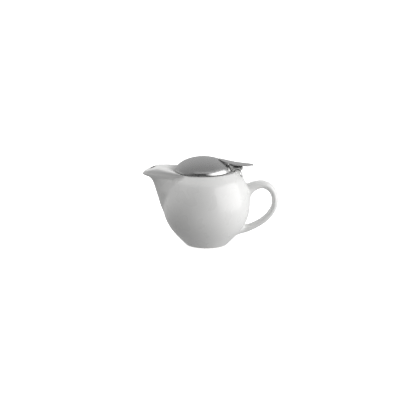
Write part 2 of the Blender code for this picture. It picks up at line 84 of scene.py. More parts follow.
# ---------------------------------------------------------------- sizes, as in the CAD source
GAP = 0.3
BODY_OUTER = [(25.5, 0.0), (34.5, 8.9), (45.1, 21.2), (52.1, 35.7), (54.0, 51.6), (52.1, 67.6),
              (46.7, 82.0), (42.0, 87.5), (38.2, 91.0), (36.3, 92.4), (35.3, 92.8)]
BODY_INNER = [(22.0, 6.6), (31.0, 11.6), (37.0, 17.6), (42.6, 25.4), (46.4, 33.4), (48.7, 42.0),
              (49.5, 51.6), (48.6, 61.0), (46.2, 70.0), (42.6, 78.4), (38.2, 84.4), (33.0, 88.2)]
RIM_Z = 92.8
FOOT_INNER_R = 21.0
FOOT_RECESS = 1.6
MOUTH_X = -4.0
MOUTH_R = 29.6
LEDGE_R = 33.0
LEDGE_Z = 91.4
SEAT_R = 36.0

# Level slices of the spout: (Z, X of its front), (Z, radius of its front), (Z, widening behind it).
KEEL = [(12.0, -34.0), (26.0, -45.5), (38.0, -52.0), (46.5, -56.0), (54.1, -58.5), (61.8, -60.7),
        (68.2, -62.7), (74.6, -64.7), (79.7, -66.5), (83.0, -68.6), (85.6, -71.8), (87.2, -76.2),
        (89.2, -79.2), (91.4, -78.4), (96.0, -76.8), (100.0, -75.4)]
NOSE_R = [(38.0, 13.0), (58.0, 10.0), (67.5, 8.0), (74.6, 6.0), (83.5, 4.5), (88.0, 3.1), (91.5, 3.3),
          (95.0, 4.2), (100.0, 4.2)]
SPOUT_SPREAD = [(38.0, 0.90), (58.0, 0.98), (67.5, 0.98), (72.0, 0.86), (76.0, 0.72), (81.0, 0.54),
                (85.0, 0.34), (88.0, 0.32), (91.5, 0.37), (95.0, 0.44), (100.0, 0.44)]
# The spout's top: (X, height along its middle), and (X, how far its sides lie below that).
RIDGE = [(-79.2, 91.4), (-77.4, 92.8), (-75.0, 93.9), (-70.0, 96.0), (-65.0, 98.0), (-60.0, 99.1),
         (-54.0, 98.7), (-46.0, 98.0), (-38.0, 97.2), (-30.0, 95.4), (-18.0, 92.0)]
CROWN = [(-79.2, 0.5), (-72.0, 1.8), (-64.0, 3.0), (-50.0, 2.8), (-34.0, 3.2), (-18.0, 3.4)]
CROWN_POWER = 5
COLLAR_SLOPE = 0.62
COLLAR_RING_R = 37.0
TOP_LEVEL = 95.0
NOSE_LEVEL = 90.0
CHAMBER_SPREAD = 0.41
# Where the spout ends inside the body, as (Z, X).
SPOUT_BACK = [(38.0, -31.0), (68.0, -31.0), (73.0, -27.0), (79.0, -19.0), (84.0, -18.0), (100.0, -18.0)]
SPOUT_FILLET = 2.4
CHAMBER_KEEL = [(57.0, -55.2), (68.0, -59.0), (78.0, -62.2), (84.0, -65.0), (88.0, -67.6),
                (92.0, -69.6), (100.0, -70.2)]
CHAMBER_INSET = 3.6
CHAMBER_BACK_R = 46.2
POUR_HOLE = (-66.8, 97.4)
POUR_HOLE_R = 3.7
POUR_HOLE_FLARE = 0.3
POUR_HOLE_REACH = 6.5
POUR_SLOPE = math.radians(28.0)
STRAINER_R = 1.9
# Rows of strainer holes: height, and how far out they reach.
STRAINER_ROWS = [(64.5, 52.6), (70.5, 56.0), (76.2, 56.0)]
STRAINER_Y = [-6.0, 0.0, 6.0]
STRAINER_BACK_X = -42.0

HANDLE_FILLET = 6.0
# The handle's centre line: X, Z, half its thickness and half its width.
HANDLE = [(44.5, 58.0, 7.6, 9.0), (48.6, 64.6, 7.4, 8.8), (53.2, 69.8, 6.7, 8.0), (58.6, 73.4, 6.1, 7.3),
          (67.0, 75.7, 5.2, 6.9), (74.6, 74.2, 4.9, 6.7), (80.6, 69.2, 4.6, 6.5), (84.2, 62.0, 4.1, 6.5),
          (84.9, 52.5, 4.05, 6.5), (82.4, 43.8, 3.95, 6.5), (75.6, 34.6, 4.0, 6.7), (65.5, 26.6, 4.05, 7.0),
          (53.6, 20.8, 4.3, 7.6), (44.5, 18.2, 4.8, 8.4), (36.0, 16.9, 5.0, 9.0)]

LUG_X = 38.2
LUG_Z = 90.6
LUG_R = 3.6
LUG_HALF_WIDTH = 5.0
LUG_ROOT_DROP = 8.0
LUG_ROOT_SHIFT = 1.2
CLIP_T = 0.9
CLIP_HALF_WIDTH = 5.4
CLIP_R = LUG_R + GAP + CLIP_T / 2
CLIP_INNER_END_Z = 85.6
CLIP_LEG_ANGLE = math.radians(22.0)
CLIP_LEG_LENGTH = 6.6
SLOT_CLEARANCE = 0.8
PIN_X = 42.8
PIN_Z = 97.0
PIN_R = 0.9
PIN_HEAD_R = 1.5
PIN_HEAD_T = 0.7
KNUCKLE_R = 2.0
EAR_R = 2.2
ARCH_R = 5.7
ACROSS_HINGE = 9.0
BORE_R = PIN_R + GAP
CHEEK_Y = CLIP_HALF_WIDTH + GAP
CHEEK_T = 1.0

LID_R = 35.06
LID_Z = 93.2
LID_T = 0.9
LID_ROUND = 0.7
HEM_R = 0.75
LID_RISE = 17.0 - HEM_R
COLLAR_R = 26.9
COLLAR_T = 0.7
COLLAR_BOTTOM_Z = 87.6
COLLAR_TOP_Z = 101.0
COLLAR_ROLL_R = 1.2
TAB_LINE = [(15.0, 107.9), (19.5, 106.5), (24.5, 105.1), (30.5, 103.6), (36.6, 102.4), (44.0, 101.4),
            (51.5, 100.7), (58.1, 100.3)]
TAB_HALF_WIDTH = 9.2
TAB_T = 1.2
TAB_CROWN = 0.7

FLANGE_R = 32.6
FLANGE_Z = LEDGE_Z + GAP
FLANGE_T = 0.8
SKIRT_DEPTH = 5.0
SKIRT_T = 0.5
BASKET_R = 28.8
BASKET_BOTTOM_R = 26.8
BASKET_T = 0.6
BASKET_BOTTOM_Z = 32.0
PLAIN_TOP = 5.0
PLAIN_FOOT = 2.0
WALL_COLUMNS = 66
BASE_RINGS = 9
BASE_PITCH = 2.6
# Radius of a basket hole as a share of its cell.
HOLE_SHARE = 0.27

# The body's axis in the frame: the lid's middle, less the mouth's offset.
lid_low, lid_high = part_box("lid_dome")
AXIS_X = (lid_low.x + lid_high.x) / 2 / MM - MOUTH_X

# ---------------------------------------------------------------- curves


def curve_points(points, steps):
    """A smooth line through the given points, with the given number of steps between each two."""
    rows = [np.array(p, float) for p in points]
    rows = [rows[0] * 2 - rows[1]] + rows + [rows[-1] * 2 - rows[-2]]
    line = []
    for a, b, c, d in zip(rows, rows[1:], rows[2:], rows[3:]):
        for step in range(steps):
            t = step / steps
            line.append(0.5 * (2 * b + (c - a) * t + (2 * a - 5 * b + 4 * c - d) * t * t
                               + (3 * b - a - 3 * c + d) * t * t * t))
    line.append(rows[-2])
    return np.array(line)


def eased(line, rounds):
    """The same line with its bends evened out; its ends stay put."""
    line = line.copy()
    for _ in range(rounds):
        line[1:-1] = (line[:-2] + 2 * line[1:-1] + line[2:]) / 4
    return line


def curve(table, rounds=30):
    """A function that reads a table of (key, value) pairs along a smooth curve through them."""
    line = eased(curve_points(table, 24), rounds)
    keys, values = line[:, 0], line[:, 1]
    return lambda key: np.interp(key, keys, values)


def arc(cx, cz, radius, start_deg, end_deg, steps):
    """Points along part of a circle in the XZ plane."""
    angles = [math.radians(start_deg + (end_deg - start_deg) * k / steps) for k in range(steps + 1)]
    return [(cx + radius * math.cos(a), cz + radius * math.sin(a)) for a in angles]


# ---------------------------------------------------------------- implicit shapes, for the pot
# A field is a function of X, Y, Z that is the distance to a surface, below zero inside it.


def join(a, b, width):
    """Both fields, filleted over a width where they meet."""
    h = np.clip(width - np.abs(a - b), 0, None) / width
    return np.minimum(a, b) - h * h * h * width / 6


def cut(a, b, width):
    """The first field without the second, with the edge between them rounded."""
    return -join(-a, b, width)


def both(a, b, width):
    """What lies in both fields, with rounded edges."""
    return -join(-a, -b, width)


def polygon_distance(px, pz, outline):
    """Distance of points to a closed outline, below zero inside it."""
    best = np.full(px.shape, 1e9)
    inside = np.zeros(px.shape, bool)
    for (ax, az), (bx, bz) in zip(outline, np.roll(outline, -1, axis=0)):
        ex, ez = bx - ax, bz - az
        wx, wz = px - ax, pz - az
        t = np.clip((wx * ex + wz * ez) / (ex * ex + ez * ez + 1e-12), 0, 1)
        best = np.minimum(best, (wx - ex * t) ** 2 + (wz - ez * t) ** 2)
        if az != bz:
            crosses = (az <= pz) != (bz <= pz)
            inside ^= crosses & (px < ax + (pz - az) / (bz - az) * ex)
    return np.where(inside, -1, 1) * np.sqrt(best)


class Sampled:
    """Values on a regular (u, v) grid, read back between its points."""

    def __init__(self, function, u_range, v_range, step):
        self.u0, self.v0, self.step = u_range[0], v_range[0], step
        us = np.arange(u_range[0], u_range[1] + step, step)
        vs = np.arange(v_range[0], v_range[1] + step, step)
        grid_u, grid_v = np.meshgrid(us, vs, indexing="ij")
        self.layers = [np.asarray(layer) for layer in function(grid_u, grid_v)]

    def __call__(self, u, v):
        shape = self.layers[0].shape
        i = np.clip((u - self.u0) / self.step, 0, shape[0] - 1.001)
        j = np.clip((v - self.v0) / self.step, 0, shape[1] - 1.001)
        i0, j0 = i.astype(int), j.astype(int)
        s, t = i - i0, j - j0
        return [(layer[i0, j0] * (1 - s) + layer[i0 + 1, j0] * s) * (1 - t)
                + (layer[i0, j0 + 1] * (1 - s) + layer[i0 + 1, j0 + 1] * s) * t
                for layer in self.layers]


def turned_field(outline, step=0.35):
    """The field of an outline, given from the axis out and back to it, turned round the axis."""
    outline = np.array(outline, float)
    whole = np.vstack([outline, outline[::-1] * (-1, 1)])
    table = Sampled(lambda r, z: [polygon_distance(r, z, whole)], (0, 100), (-6, 130), step)
    return lambda x, y, z: table(np.hypot(x, y), z)[0]


def beak_field(keel_table, spread_table, inset):
    """The spout: blunt wedges that follow the keel, under a crowned top."""
    keel, nose_r = curve(keel_table, 60), curve(NOSE_R, 60)
    ridge, crown = curve(RIDGE, 60), curve(CROWN, 60)
    least_r = 1.4
    spread_at, back_at = curve(spread_table, 60), curve(SPOUT_BACK, 60)

    def field(x, y, z):
        nose = keel(z)
        slope = keel(z + 0.5) - keel(z - 0.5)
        depth = x - nose
        radius = np.maximum(nose_r(z) - inset, least_r)
        back = np.maximum(depth, 0)
        spread = spread_at(z)
        bend = y * y - 2 * radius * depth - (spread * back) ** 2
        steep = np.sqrt(4 * y * y + (2 * radius + 2 * spread**2 * back) ** 2 * (1 + slope**2))
        sides = np.where(depth > -30, bend / steep, -depth)
        top_depth = np.maximum(x - keel(NOSE_LEVEL), 0.2)
        top_radius = np.maximum(nose_r(TOP_LEVEL) - inset, least_r)
        half = np.sqrt(2 * top_radius * top_depth + (spread_at(TOP_LEVEL) * top_depth) ** 2)
        side = np.clip(np.abs(y) / half, 0, 1.15)
        top = ridge(x) - crown(x) * side**CROWN_POWER
        fall = RIM_Z + 0.4 + COLLAR_SLOPE * (np.hypot(x - MOUTH_X, y) - COLLAR_RING_R)
        roof = (z - join(top, fall, 2.5) + inset) / 1.15
        shape = both(sides, roof, max(0.6, 1.6 - inset))
        return np.maximum(np.maximum(shape, x - back_at(z)), keel_table[0][0] + 2.0 - z)

    return field


def loop_field():
    """The handle: an oval swept along its centre line in the XZ plane."""
    line = eased(curve_points(HANDLE, 16), 30)

    def nearest(px, pz):
        best = np.full(px.shape, 1e9)
        thick = np.ones(px.shape)
        wide = np.ones(px.shape)
        for a, b in zip(line[:-1], line[1:]):
            edge = b[:2] - a[:2]
            t = np.clip(((px - a[0]) * edge[0] + (pz - a[1]) * edge[1]) / (edge @ edge), 0, 1)
            near = np.hypot(px - a[0] - edge[0] * t, pz - a[1] - edge[1] * t)
            closer = near < best
            best = np.where(closer, near, best)
            thick = np.where(closer, a[2] + (b[2] - a[2]) * t, thick)
            wide = np.where(closer, a[3] + (b[3] - a[3]) * t, wide)
        return [best, thick, wide]

    table = Sampled(nearest, (15, 105), (-6, 100), 0.5)

    def field(x, y, z):
        near, thick, wide = table(x, z)
        q = np.sqrt((near / thick) ** 2 + (y / wide) ** 2)
        steep = np.sqrt((near / thick**2) ** 2 + (y / wide**2) ** 2) + 1e-6
        return np.clip((q - 1) * q / steep, -4, 60)

    return field


def pot_field():
    outer = eased(curve_points(BODY_OUTER[:-1], 24), 80)
    body = turned_field([(0, 0)] + [tuple(p) for p in outer] + [BODY_OUTER[-1], (0, RIM_Z)])
    inner = eased(curve_points(BODY_INNER, 24), 60)
    cavity = turned_field([(0, BODY_INNER[0][1])] + [tuple(p) for p in inner]
                          + [(0, BODY_INNER[-1][1] + 0.6)])
    deep, above = 80, 125
    mouth = turned_field([(0, deep), (MOUTH_R, deep), (MOUTH_R, LEDGE_Z), (LEDGE_R, LEDGE_Z),
                          (LEDGE_R, RIM_Z), (SEAT_R, RIM_Z), (SEAT_R, above), (0, above)])
    beak = beak_field(KEEL, SPOUT_SPREAD, 0.0)
    chamber_form = beak_field(CHAMBER_KEEL, [(0.0, CHAMBER_SPREAD), (120.0, CHAMBER_SPREAD)], CHAMBER_INSET)
    loop = loop_field()
    inner_leg_x = LUG_X - CLIP_R
    slot_half = CLIP_T / 2 + SLOT_CLEARANCE

    def field(x, y, z):
        shell = body(x, y, z)
        form = join(shell, beak(x, y, z), SPOUT_FILLET)
        form = join(form, loop(x, y, z), HANDLE_FILLET)
        down = np.clip((LUG_Z - z) / LUG_ROOT_DROP, 0, 1)
        lug = np.hypot(x - LUG_X + LUG_ROOT_SHIFT * down, z - LUG_Z + LUG_ROOT_DROP * down) - LUG_R
        form = join(form, both(lug, np.abs(y) - LUG_HALF_WIDTH, 1.2), 1.6)

        hollow = join(cavity(x, y, z), mouth(x - MOUTH_X, y, z), 1.6)
        form = cut(form, hollow, 1.2)
        radius = np.hypot(x, y)
        chamber = both(chamber_form(x, y, z), both(-shell, CHAMBER_BACK_R - radius, 1.0), 1.5)
        chamber = np.maximum(chamber, CHAMBER_KEEL[0][0] - z)
        form = cut(form, chamber, 0.8)

        dx, dz = x - POUR_HOLE[0], z - POUR_HOLE[1]
        across = dx * math.cos(POUR_SLOPE) + dz * math.sin(POUR_SLOPE)
        along = -dx * math.sin(POUR_SLOPE) + dz * math.cos(POUR_SLOPE)
        widening = POUR_HOLE_FLARE * np.clip(-along, 0, 4)
        pour = np.maximum(np.hypot(across, y) - POUR_HOLE_R - widening, np.abs(along) - POUR_HOLE_REACH)
        form = cut(form, pour, 0.8)
        for height, reach in STRAINER_ROWS:
            for offset in STRAINER_Y:
                hole = np.hypot(y - offset, z - height) - STRAINER_R
                form = cut(form, np.maximum(hole, np.maximum(-reach - x, x - STRAINER_BACK_X)), 0.7)

        slot = both(np.abs(x - inner_leg_x) - slot_half, np.abs(y) - CLIP_HALF_WIDTH - SLOT_CLEARANCE, 0.8)
        form = cut(form, np.maximum(slot, deep - z), 0.8)
        foot = both(radius - FOOT_INNER_R, z - FOOT_RECESS, 1.0)
        return cut(form, foot, 1.2)

    return field


def ruler(*stops):
    """Grid lines: each stop is (start, step), and the last is the end."""
    lines = []
    for (start, step), (end, _) in zip(stops, stops[1:]):
        count = max(1, round((end - start) / step))
        lines += [start + (end - start) * k / count for k in range(count)]
    return np.array(lines + [stops[-1][0]])


def surface_of(field, xs, ys, zs):
    """The surface where a field is zero: one point in each cell it crosses, one face across each edge."""
    values = np.stack([field(*np.meshgrid(xs[k:k + 1], ys, zs, indexing="ij"))[0] for k in range(len(xs))])
    below = values < 0
    corner = [(i, j, k) for i in (0, 1) for j in (0, 1) for k in (0, 1)]
    nx, ny, nz = len(xs) - 1, len(ys) - 1, len(zs) - 1
    count = sum(below[i:i + nx, j:j + ny, k:k + nz].astype(int) for i, j, k in corner)
    cells = np.argwhere((count > 0) & (count < 8))
    number = np.full((nx, ny, nz), -1)
    number[tuple(cells.T)] = np.arange(len(cells))

    axes = (xs, ys, zs)
    total = np.zeros((len(cells), 3))
    hits = np.zeros(len(cells))
    for a in range(8):
        for axis in range(3):
            if corner[a][axis]:
                continue
            start = cells + corner[a]
            end = start.copy()
            end[:, axis] += 1
            fa, fb = values[tuple(start.T)], values[tuple(end.T)]
            crossed = (fa < 0) != (fb < 0)
            t = np.where(crossed, fa / np.where(crossed, fa - fb, 1), 0)
            point = np.stack([axes[k][start[:, k]] + t * (axes[k][end[:, k]] - axes[k][start[:, k]])
                              for k in range(3)], axis=1)
            total += point * crossed[:, None]
            hits += crossed
    points = total / hits[:, None]

    faces = []
    for axis in range(3):
        u, v = (axis + 1) % 3, (axis + 2) % 3
        first, second = [slice(None)] * 3, [slice(None)] * 3
        first[axis], second[axis] = slice(0, -1), slice(1, None)
        a, b = below[tuple(first)], below[tuple(second)]
        for flips, mask in ((False, a & ~b), (True, ~a & b)):
            at = np.argwhere(mask)
            ring = []
            for du, dv in ((-1, -1), (0, -1), (0, 0), (-1, 0)):
                cell = at.copy()
                cell[:, u] += du
                cell[:, v] += dv
                ring.append(number[tuple(cell.T)])
            quad = np.stack(ring, axis=1)
            faces.append(quad[:, ::-1] if flips else quad)
    return points, np.vstack(faces)


def settle(field, points, faces, rounds=3):
    """Even out the points along the surface, and put each back on it."""
    edges = np.unique(np.sort(np.vstack([faces[:, [k, (k + 1) % 4]] for k in range(4)]), axis=1), axis=0)
    degree = np.bincount(edges.ravel(), minlength=len(points))[:, None]

    def onto(p):
        for _ in range(3):
            value = field(*p.T)
            slope = np.stack([(field(*(p + step).T) - field(*(p - step).T)) / 0.1
                              for step in np.eye(3) * 0.05], axis=1)
            size = (slope**2).sum(1)
            move = slope * (value / np.maximum(size, 0.2))[:, None]
            length = np.linalg.norm(move, axis=1)[:, None]
            p = p - move * np.minimum(1, 0.5 / np.maximum(length, 1e-9))
        return p

    points = onto(points)
    for _ in range(rounds):
        total = np.zeros_like(points)
        np.add.at(total, edges[:, 0], points[edges[:, 1]])
        np.add.at(total, edges[:, 1], points[edges[:, 0]])
        points = onto(points * 0.4 + total / degree * 0.6)
    return points


# ---------------------------------------------------------------- making pieces

SMOOTH_ANGLE = 35.0


def place(mesh, name, material, body, stands_for):
    """Add a mesh that is already in the frame: it rides on its body and replaces CAD nodes."""
    item = bpy.data.objects.new(name, mesh)
    bpy.context.scene.collection.objects.link(item)
    mesh.materials.clear()
    mesh.materials.append(material)
    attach(item, body)
    if stands_for:
        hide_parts(*stands_for)
    return item


def into_frame(bm, name):
    """A mesh moved from millimetres round the body's axis into the frame."""
    bmesh.ops.recalc_face_normals(bm, faces=bm.faces)
    for vertex in bm.verts:
        vertex.co = (vertex.co + Vector((AXIS_X, 0, 0))) * MM
    mesh = bpy.data.meshes.new(name)
    bm.to_mesh(mesh)
    bm.free()
    return mesh


def finish(bm, name, material, slot, body, *stands_for, angle=SMOOTH_ANGLE):
    """Finish a piece and put it on its body."""
    mesh = into_frame(bm, name)
    mesh.shade_smooth()
    mesh.set_sharp_from_angle(angle=math.radians(angle))
    return place(mesh, name, material, body, stands_for)


def turned(outline, steps=144, center_x=0.0):
    """Turn a closed (radius, height) outline into a solid."""
    bm = bmesh.new()
    corners = [bm.verts.new((r, 0.0, z)) for r, z in outline]
    edges = [bm.edges.new((a, b)) for a, b in zip(corners, corners[1:] + corners[:1])]
    bmesh.ops.spin(bm, geom=corners + edges, cent=(0, 0, 0), axis=(0, 0, 1), angle=math.tau,
                   steps=steps, use_merge=True)
    bmesh.ops.remove_doubles(bm, verts=bm.verts, dist=1e-5)
    on_axis = [e for e in bm.edges if e.verts[0].co.xy.length < 1e-4 and e.verts[1].co.xy.length < 1e-4]
    bmesh.ops.delete(bm, geom=on_axis, context="EDGES_FACES")
    bmesh.ops.translate(bm, vec=(center_x, 0, 0), verts=bm.verts)
    return bm


def slab(outline, y_low, y_high, bevel=0.0):
    """Extrude a closed (X, Z) outline along Y, with its edges eased."""
    bm = bmesh.new()
    face = bm.faces.new([bm.verts.new((x, y_low, z)) for x, z in outline])
    wall = bmesh.ops.extrude_face_region(bm, geom=[face])
    moved = [g for g in wall["geom"] if isinstance(g, bmesh.types.BMVert)]
    bmesh.ops.translate(bm, vec=(0, y_high - y_low, 0), verts=moved)
    if bevel:
        bmesh.ops.recalc_face_normals(bm, faces=bm.faces)
        sharp = [e for e in bm.edges if e.calc_face_angle(0) > math.radians(40)]
        bmesh.ops.bevel(bm, geom=sharp, offset=bevel, segments=3, profile=0.5, affect="EDGES",
                        clamp_overlap=True)
    return bm


def add_rod(bm, start, end, radius, sides=32, round_end=0.0):
    """Add a round rod between two points, with its ends eased."""
    start, end = Vector(start), Vector(end)
    along = end - start
    turn = along.to_track_quat("Z", "Y").to_matrix().to_4x4()
    turn.translation = (start + end) / 2
    made = bmesh.ops.create_cone(bm, cap_ends=True, segments=sides, radius1=radius, radius2=radius,
                                 depth=along.length, matrix=turn)
    if round_end:
        rims = {e for v in made["verts"] for e in v.link_edges if e.calc_face_angle(0) > math.radians(60)}
        bmesh.ops.bevel(bm, geom=list(rims), offset=round_end, segments=3, profile=0.5, affect="EDGES")
    return bm


# ---------------------------------------------------------------- materials


class Shader:
    """A Principled material, and short ways to wire procedural detail into it."""

    def __init__(self, name, **sockets):
        self.material = bpy.data.materials.new(name)
        self.material.use_nodes = True
        self.tree = self.material.node_tree
        self.main = self.tree.nodes["Principled BSDF"]
        for socket, value in sockets.items():
            self.main.inputs[socket.replace("_", " ")].default_value = value
        self.place = self.tree.nodes.new("ShaderNodeTexCoord").outputs["Object"]

    def put(self, socket, value):
        """Link a socket to another, or set it to a value."""
        if isinstance(value, bpy.types.NodeSocket):
            self.tree.links.new(value, socket)
        else:
            socket.default_value = value

    def math(self, operation, a, b=0.0):
        made = self.tree.nodes.new("ShaderNodeMath")
        made.operation = operation
        self.put(made.inputs[0], a)
        self.put(made.inputs[1], b)
        return made.outputs[0]

    def spread(self, value, low, high, to_low, to_high):
        """Map low..high onto to_low..to_high, clamped."""
        made = self.tree.nodes.new("ShaderNodeMapRange")
        for socket, entry in zip(made.inputs, (value, low, high, to_low, to_high)):
            self.put(socket, entry)
        return made.outputs[0]

    def noise(self, vector, scale, detail=3.0, roughness=0.5):
        made = self.tree.nodes.new("ShaderNodeTexNoise")
        self.put(made.inputs["Vector"], vector)
        self.put(made.inputs["Scale"], scale)
        self.put(made.inputs["Detail"], detail)
        self.put(made.inputs["Roughness"], roughness)
        return made.outputs[0]

    def scaled(self, factors):
        made = self.tree.nodes.new("ShaderNodeVectorMath")
        made.operation = "MULTIPLY"
        self.put(made.inputs[0], self.place)
        made.inputs[1].default_value = factors
        return made.outputs[0]

    def mix(self, factor, a, b):
        made = self.tree.nodes.new("ShaderNodeMix")
        made.data_type = "RGBA"
        self.put(made.inputs["Factor"], factor)
        self.put(made.inputs["A"], a)
        self.put(made.inputs["B"], b)
        return made.outputs["Result"]

    def bump(self, height, strength, distance):
        made = self.tree.nodes.new("ShaderNodeBump")
        self.put(made.inputs["Height"], height)
        made.inputs["Strength"].default_value = strength
        made.inputs["Distance"].default_value = distance
        self.tree.links.new(made.outputs["Normal"], self.main.inputs["Normal"])

    def turning(self, center_x):
        """Radius from, and angle round, a vertical axis at this X, in metres and radians."""
        split = self.tree.nodes.new("ShaderNodeSeparateXYZ")
        self.put(split.inputs[0], self.place)
        x = self.math("SUBTRACT", split.outputs[0], center_x)
        radius = self.math("SQRT", self.math("ADD", self.math("MULTIPLY", x, x),
                                             self.math("MULTIPLY", split.outputs[1], split.outputs[1])))
        return radius, self.math("ARCTAN2", split.outputs[1], x)

    def combined(self, x, y, z):
        made = self.tree.nodes.new("ShaderNodeCombineXYZ")
        for socket, value in zip(made.inputs, (x, y, z)):
            self.put(socket, value)
        return made.outputs[0]


GLAZE_LIGHT = (0.832, 0.832, 0.823, 1)
GLAZE_DEEP = (0.815, 0.815, 0.806, 1)
SPECK_COLOR = (0.62, 0.60, 0.57, 1)
CLAY_DARK = (0.70, 0.68, 0.64, 1)
CLAY_LIGHT = (0.80, 0.785, 0.75, 1)
# The foot ring is bare up to about this height, in metres.
BARE_FROM, BARE_TO = 0.0007, 0.0011
DIMMER_GRAIN = 0.93


def glaze_material():
    """White porcelain glaze: a soft gloss with a faint ripple, and a bare foot ring."""
    s = Shader("porcelain_glaze", Coat_Weight=0.25, Coat_Roughness=0.12, Coat_IOR=1.5,
               Specular_IOR_Level=0.5)
    height = s.tree.nodes.new("ShaderNodeSeparateXYZ")
    s.put(height.inputs[0], s.place)
    pooled = s.noise(s.place, 16.0, 1.0)
    body = s.mix(s.spread(pooled, 0.2, 0.8, 0, 1), GLAZE_DEEP, GLAZE_LIGHT)
    specks = s.spread(s.noise(s.place, 900.0, 1.0), 0.80, 0.84, 0, 0.25)
    speckled = s.mix(specks, body, SPECK_COLOR)
    bare = s.spread(height.outputs[2], BARE_FROM, BARE_TO, 1, 0)
    grain = s.noise(s.place, 1600.0, 4.0, 0.7)
    clay = s.mix(s.spread(grain, 0.3, 0.7, 0, 1), CLAY_DARK, CLAY_LIGHT)
    s.put(s.main.inputs["Base Color"], s.mix(bare, speckled, clay))
    gloss = s.spread(s.noise(s.place, 60.0, 1.0), 0.2, 0.8, 0.25, 0.31)
    s.put(s.main.inputs["Roughness"], s.math("ADD", gloss, s.math("MULTIPLY", bare, 0.6)))
    fine = s.math("MULTIPLY", s.noise(s.place, 420.0, 2.0), 0.15)
    ripple = s.math("ADD", s.noise(s.place, 110.0, 2.0), fine)
    s.bump(ripple, 0.06, 0.0004)
    return s.material


def spun_steel(name, center_x, color, low, high, scratch):
    """Steel turned on a lathe: fine rings with slow changes round them."""
    s = Shader(name, Metallic=1.0)
    radius, angle = s.turning(center_x)

    def ringed(along_radius, round_axis, layer):
        return s.combined(s.math("MULTIPLY", radius, along_radius),
                          s.math("MULTIPLY", angle, round_axis), layer)

    rings = s.noise(ringed(2600.0, 3.0, 0.0), 1.0, 4.0, 0.6)
    fine = s.noise(ringed(9000.0, 14.0, 2.0), 1.0, 2.0)
    cloud = s.noise(s.place, 45.0, 3.0)
    tone = s.spread(rings, 0.3, 0.7, 0, 1)
    dim = tuple(c * DIMMER_GRAIN for c in color) + (1,)
    s.put(s.main.inputs["Base Color"], s.mix(tone, dim, (*color, 1)))
    rough = s.math("ADD", s.spread(rings, 0.3, 0.7, low, high), s.spread(cloud, 0.3, 0.7, -0.02, 0.03))
    s.put(s.main.inputs["Roughness"], rough)
    s.bump(s.math("ADD", rings, s.math("MULTIPLY", fine, 0.5)), scratch, 0.00004)
    return s.material


def brushed_steel(name, stretch, color, low, high, scratch):
    """Steel brushed one way: grain long along the smallest factor of stretch."""
    s = Shader(name, Metallic=1.0)
    grain = s.noise(s.scaled(stretch), 1.0, 4.0, 0.6)
    cloud = s.noise(s.place, 60.0, 3.0)
    dim = tuple(c * DIMMER_GRAIN for c in color) + (1,)
    s.put(s.main.inputs["Base Color"], s.mix(s.spread(grain, 0.3, 0.7, 0, 1), dim, (*color, 1)))
    rough = s.math("ADD", s.spread(grain, 0.3, 0.7, low, high), s.spread(cloud, 0.3, 0.7, -0.02, 0.03))
    s.put(s.main.inputs["Roughness"], rough)
    s.bump(grain, scratch, 0.00004)
    return s.material


def bright_steel(name, color, low, high):
    """Polished steel with soft smears and a few hairlines."""
    s = Shader(name, Metallic=1.0)
    smear = s.noise(s.place, 130.0, 4.0, 0.6)
    hair = s.noise(s.scaled((900.0, 60.0, 5200.0)), 1.0, 3.0, 0.6)
    dim = tuple(c * 0.95 for c in color) + (1,)
    s.put(s.main.inputs["Base Color"], s.mix(s.spread(smear, 0.35, 0.65, 0, 1), dim, (*color, 1)))
    s.put(s.main.inputs["Roughness"], s.math("ADD", s.spread(smear, 0.3, 0.7, low, high),
                                             s.spread(hair, 0.55, 0.8, 0, 0.08)))
    s.bump(hair, 0.06, 0.00003)
    return s.material


lid_center_x = (AXIS_X + MOUTH_X) * MM
glaze = glaze_material()
dome_steel = spun_steel("satin_steel_spun", lid_center_x, (0.56, 0.56, 0.56), 0.24, 0.32, 0.10)
tab_steel = brushed_steel("satin_steel_brushed", (70.0, 5200.0, 5200.0), (0.60, 0.60, 0.60), 0.26, 0.34, 0.12)
clip_steel = bright_steel("bright_steel_polished", (0.74, 0.74, 0.73), 0.07, 0.14)
collar_steel = spun_steel("bright_steel_spun", lid_center_x, (0.70, 0.70, 0.69), 0.12, 0.2, 0.06)
basket_steel = spun_steel("basket_steel_spun", lid_center_x, (0.66, 0.66, 0.65), 0.2, 0.3, 0.08)

# ---------------------------------------------------------------- pot

# Spacing of the grid that the pot's surface is read from: closest round the hinge slot, the rim and the
# pouring hole.
COARSE, FINE, FINEST = 1.2, 0.6, 0.5
shape = pot_field()
points, faces = surface_of(
    shape,
    ruler((-82.0, 1.0), (-72.0, FINEST), (-62.0, COARSE), (31.0, FINE), (43.5, COARSE), (92.0, 0)),
    ruler((-57.0, COARSE), (-8.0, 0.8), (-4.8, FINEST), (4.8, 0.8), (8.0, COARSE), (57.0, 0)),
    ruler((-1.5, 0.75), (3.0, COARSE), (86.4, FINE), (93.0, FINEST), (100.0, 0.9), (102.0, 0)))
points = settle(shape, points, faces)
points = (points + (AXIS_X, 0, 0)) * MM
pot_mesh = bpy.data.meshes.new("pot_body")
pot_mesh.from_pydata(points.tolist(), [], faces.tolist())
pot_mesh.validate()
pot_mesh.shade_smooth()
pot_nodes = sorted(name for name in frame["nodes"] if name.startswith("pot"))
place(pot_mesh, "porcelain_pot", glaze, "pot", pot_nodes)

# ---------------------------------------------------------------- lid


def dome_z(radius):
    """Height of the dome's outside, between a spherical cap and half an ellipsoid."""
    r = min(radius, LID_R)
    ball = (LID_R * LID_R + LID_RISE * LID_RISE) / (2 * LID_RISE)
    cap = math.sqrt(ball * ball - r * r) - (ball - LID_RISE)
    ellipsoid = LID_RISE * math.sqrt(max(0.0, 1 - (r / LID_R) ** 2))
    return LID_Z + HEM_R + (1 - LID_ROUND) * cap + LID_ROUND * ellipsoid


